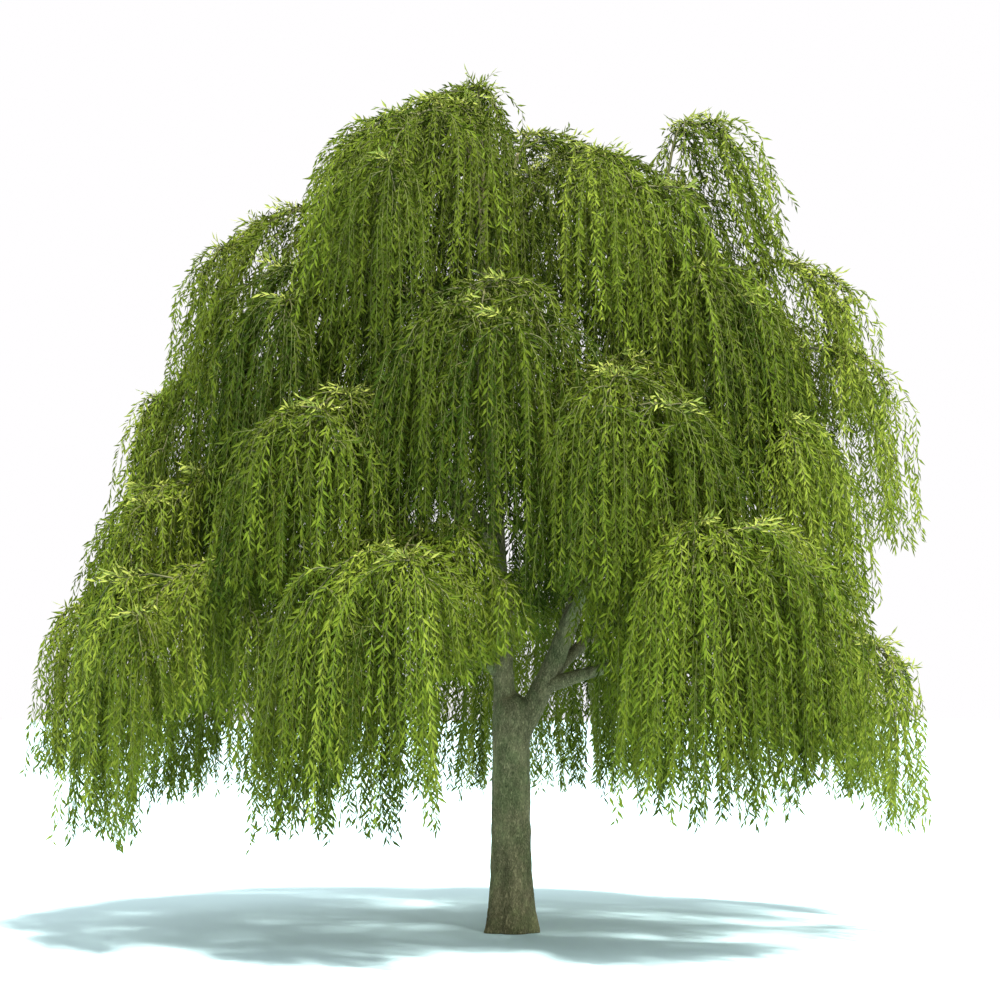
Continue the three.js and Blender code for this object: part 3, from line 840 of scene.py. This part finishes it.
draw = draws_from(LEADER_SEED)
for leader in LEADERS.values():
    for n in range(LEADER_TWIGS):
        share = LEADER_BARE + (1 - LEADER_BARE) * (n + draw(*LEADER_PLACES)) / LEADER_TWIGS
        angle = GOLDEN_ANGLE * n + draw(*LEADER_ANGLES)
        way = heading(angle, draw(*LEADER_LIFTS)) * draw(*LEADER_REACHES)
        path = bent_shoot(np.array(leader_point(leader, share)), way, LEADER_DROOP, SHOOT_POINTS)
        twigs.append((path, TWIG_RADII, LEADER_LIGHT))
        nearest = int(np.argmin(((sites - path[len(path) // 2]) ** 2).sum(axis=1)))
        hang_withes(nearest, path, SHOOT_BARE, draw, LEADER_FLOOR)


def lines_object(name, lines):
    """Paths as bare edges, with the thickness at each point kept as an attribute."""
    points = np.concatenate([path for path, _, _ in lines])
    radii = np.concatenate([np.linspace(*ends, len(path)) for path, ends, _ in lines])
    edges, first = [], 0
    for path, _, _ in lines:
        edges += [(first + i, first + i + 1) for i in range(len(path) - 1)]
        first += len(path)
    piece = mesh_object(name, points, edges=edges)
    piece.data.attributes.new("thickness", "FLOAT", "POINT").data.foreach_set("value", radii)
    return piece


def geometry_tree(name, sizes):
    """An empty geometry tree with named inputs; gives its graph, its group input and what ends it."""
    tree = bpy.data.node_groups.new(name, "GeometryNodeTree")
    tree.interface.new_socket("Geometry", in_out="INPUT", socket_type="NodeSocketGeometry")
    tree.interface.new_socket("Geometry", in_out="OUTPUT", socket_type="NodeSocketGeometry")
    for size, kind in sizes.items():
        tree.interface.new_socket(size, in_out="INPUT", socket_type="NodeSocket" + kind)
    graph = Graph(tree, "GeometryNode")
    entry = tree.nodes.new("NodeGroupInput")
    given = {socket.name: Value(graph, socket) for socket in entry.outputs if socket.name}

    def end(value):
        whole = graph("RealizeInstances", {"Geometry": value})
        dressed = graph("SetMaterial", {"Geometry": whole, "Material": given["Material"]})
        leave = tree.nodes.new("NodeGroupOutput")
        tree.links.new(dressed.socket, leave.inputs[0])
    return tree, graph, given, end


def grown(piece, tree, **sizes):
    """Runs a geometry tree on a piece and keeps the result as its plain mesh."""
    modifier = piece.modifiers.new(tree.name, "NODES")
    modifier.node_group = tree
    for item in tree.interface.items_tree:
        if item.in_out == "INPUT" and item.name in sizes:
            modifier[item.identifier] = sizes[item.name]
    return settled(piece)


tubing, graph, given, end = geometry_tree("Tubing", {"Sides": "Int", "Material": "Material"})
curve = graph("MeshToCurve", {"Mesh": given["Geometry"]})
thickness = graph("InputNamedAttribute", {"Name": "thickness"}, output="Attribute", data_type="FLOAT")
profile = graph("CurvePrimitiveCircle", {"Resolution": given["Sides"], "Radius": 1.0})
end(graph("CurveToMesh", {"Curve": curve, "Profile Curve": profile, "Scale": thickness, "Fill Caps": True}))


def shoot_material(name, low, high):
    """Smooth young bark, mottled between two colours."""
    material, graph = fresh_material(name)
    mottling = graph("TexNoise", {"Vector": graph("TexCoord", output="Object"), "Scale": 6.0, "Detail": 2.0})
    colour = graph("ValToRGB", {"Fac": mottling}, stops=[(0.3, low), (0.7, high)])
    shader = graph("BsdfPrincipled", {"Base Color": colour, "Roughness": 0.6})
    graph.node("OutputMaterial", {"Surface": shader})
    return material


twig_bark = shoot_material("twig bark", low=(0.075, 0.078, 0.026), high=(0.150, 0.150, 0.052))
withe_bark = shoot_material("withe bark", low=(0.130, 0.155, 0.032), high=(0.230, 0.250, 0.068))
twig_lines = lines_object("twig_wood", stems + twigs + tufts)
withe_lines = lines_object("withe_wood", withes)
twig_wood = grown(twig_lines, tubing, Sides=TWIG_SIDES, Material=twig_bark)
withe_wood = grown(withe_lines, tubing, Sides=WITHE_SIDES, Material=withe_bark)
for piece in (twig_wood, withe_wood):
    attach(piece, "root")

# ---- Leaves ----
# Narrow leaves 8 to 14 cm long, folded a little along the midrib, standing off the withe on alternate
# sides. Those of a spray share one green, which is painted light and shade: the sprays in sun and sky
# are lighter, up to yellow-green at the tops where the leaves are also young, and those in the crown's
# shade are deep green.

LEAF_LENGTH = 0.116
LEAF_WIDTH = 0.0270
LEAF_SPACING = 0.0365
LEAF_LEAN = 0.56  # radians off the withe
LEAF_LEAN_RANGE = 0.34
LEAF_SPIN = 1.5  # radians round the withe, either way
LEAF_TWIST = 0.7
LEAF_SCALES = (0.65, 1.2)
SEED_STEP = 10  # from one green's draws to the next
# From deep green for sprays in painted shade to yellow-green for those in painted sun and the young tips.
LEAF_GREENS = {
    "deep": (0.034, 0.059, 0.004),
    "shade": (0.060, 0.087, 0.006),
    "olive": (0.093, 0.128, 0.010),
    "leafy": (0.132, 0.185, 0.015),
    "fresh": (0.204, 0.260, 0.029),
    "young": (0.342, 0.388, 0.079),
}
GREEN_CUTS = (0.0, 0.18, 0.36, 0.54, 0.71, 0.86, 1.0)  # shares of all sprays at which the green changes

leaf_shape = mesh_object("leaf_shape", [
    (0, 0, 0),
    (-LEAF_WIDTH / 2, 0.18 * LEAF_WIDTH, 0.34 * LEAF_LENGTH),
    (LEAF_WIDTH / 2, 0.18 * LEAF_WIDTH, 0.44 * LEAF_LENGTH),
    (0.1 * LEAF_WIDTH, -0.1 * LEAF_WIDTH, LEAF_LENGTH),
], faces=[(0, 3, 1), (0, 2, 3)])

leafing, graph, given, end = geometry_tree("Leafing", {
    "Leaf": "Object", "Spacing": "Float", "Lean": "Float", "Seed": "Int", "Material": "Material"})
curve = graph("MeshToCurve", {"Mesh": given["Geometry"]})
knots = graph("ResampleCurve", {"Curve": curve, "Length": given["Spacing"]}, mode="LENGTH")
leaf = graph("ObjectInfo", {"Object": given["Leaf"]}, output="Geometry")
tangent = graph("InputTangent")
place = graph("InputPosition")
outward = graph("VectorMath", {0: place, 1: (1.0, 1.0, 0.0)}, operation="MULTIPLY")
aligned = graph("AlignRotationToVector", {"Vector": tangent}, axis="Z")
faced = graph("AlignRotationToVector", {"Rotation": aligned, "Vector": outward}, axis="Y", pivot_axis="Z")
order = graph("InputIndex")
hand = graph("Math", {0: order, 1: 2.0}, operation="MODULO") * 2 - 1
jitter = graph("RandomValue", {"Min": -1.0, "Max": 1.0, "Seed": given["Seed"]}, output=1)
lean = hand * (given["Lean"] + LEAF_LEAN_RANGE * jitter)
spin = graph("RandomValue", {"Min": -LEAF_SPIN, "Max": LEAF_SPIN, "Seed": given["Seed"] + 1}, output=1)
twist = graph("RandomValue", {"Min": -LEAF_TWIST, "Max": LEAF_TWIST, "Seed": given["Seed"] + 2}, output=1)
smallest, largest = LEAF_SCALES
size = graph("RandomValue", {"Min": smallest, "Max": largest, "Seed": given["Seed"] + 3}, output=1)
leaning = graph("CombineXYZ", {"Y": lean, "Z": spin})
turn = graph("EulerToRotation", {0: leaning})
roll = graph("EulerToRotation", {0: graph("CombineXYZ", {"Z": twist})})
turned = graph("RotateRotation", {"Rotation": faced, "Rotate By": turn}, rotation_space="LOCAL")
rolled = graph("RotateRotation", {"Rotation": turned, "Rotate By": roll}, rotation_space="LOCAL")
end(graph("InstanceOnPoints", {"Points": knots, "Instance": leaf, "Rotation": rolled, "Scale": size}))


def leaf_material(name, green):
    """A plain green, hardly glossy."""
    material, graph = fresh_material(name)
    shader = graph("BsdfPrincipled", {"Base Color": (*green, 1), "Roughness": 0.55,
                                      "Specular IOR Level": 0.06})
    graph.node("OutputMaterial", {"Surface": shader})
    return material


# The sprays in order from the most painted shade to the most painted light, cut into the greens.
bearing = sorted(withes + twigs + stems + tufts, key=lambda line: line[2])
bounds = [int(cut * len(bearing)) for cut in GREEN_CUTS]
for number, (tone, green) in enumerate(LEAF_GREENS.items()):
    sprays = bearing[bounds[number]:bounds[number + 1]]
    piece = grown(lines_object("leaves_" + tone, sprays), leafing, Leaf=leaf_shape, Spacing=LEAF_SPACING,
                  Lean=LEAF_LEAN, Seed=SEED_STEP * number, Material=leaf_material(tone + " leaf", green))
    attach(piece, "root")
bpy.data.objects.remove(leaf_shape)
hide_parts(*["foliage_" + arch["name"] for arch in ARCHES])

# ---- Floor and light ----
# A plain pale floor just under the cut foot of the trunk, out to the horizon, below a white sky. The
# soft sun stands high to the right, in front of the tree.

FLOOR_REACH = 400
FLOOR_LEVEL = -0.002

corners = [(x * FLOOR_REACH, y * FLOOR_REACH, FLOOR_LEVEL) for x, y in ((-1, -1), (1, -1), (1, 1), (-1, 1))]
floor = mesh_object("floor", corners, faces=[(0, 1, 2, 3)])
floor_material = bpy.data.materials.new("pale floor")
floor_material.use_nodes = True
floor_shader = floor_material.node_tree.nodes["Principled BSDF"]
# Its blue-green tint is painted skylight: the sunlit floor burns out to white, and the tint shows only in
# the tree's shadow, where it stands in for the light of a blue sky.
floor_shader.inputs["Base Color"].default_value = (0.66, 0.92, 0.98, 1)
floor_shader.inputs["Roughness"].default_value = 0.9
floor.data.materials.append(floor_material)

world = bpy.data.worlds.new("white sky")
world.use_nodes = True
world.node_tree.nodes["Background"].inputs["Color"].default_value = (1.0, 0.99, 1.0, 1)
world.node_tree.nodes["Background"].inputs["Strength"].default_value = 1.0
bpy.context.scene.world = world

sun_data = bpy.data.lights.new("sun", "SUN")
sun_data.energy = 6.0
sun_data.angle = math.radians(5)
sun_data.color = (1.0, 0.97, 0.90)
sun = bpy.data.objects.new("sun", sun_data)
sun.rotation_euler = (math.radians(24), math.radians(14), 0)
bpy.context.scene.collection.objects.link(sun)

bpy.context.scene.view_settings.view_transform = "Standard"
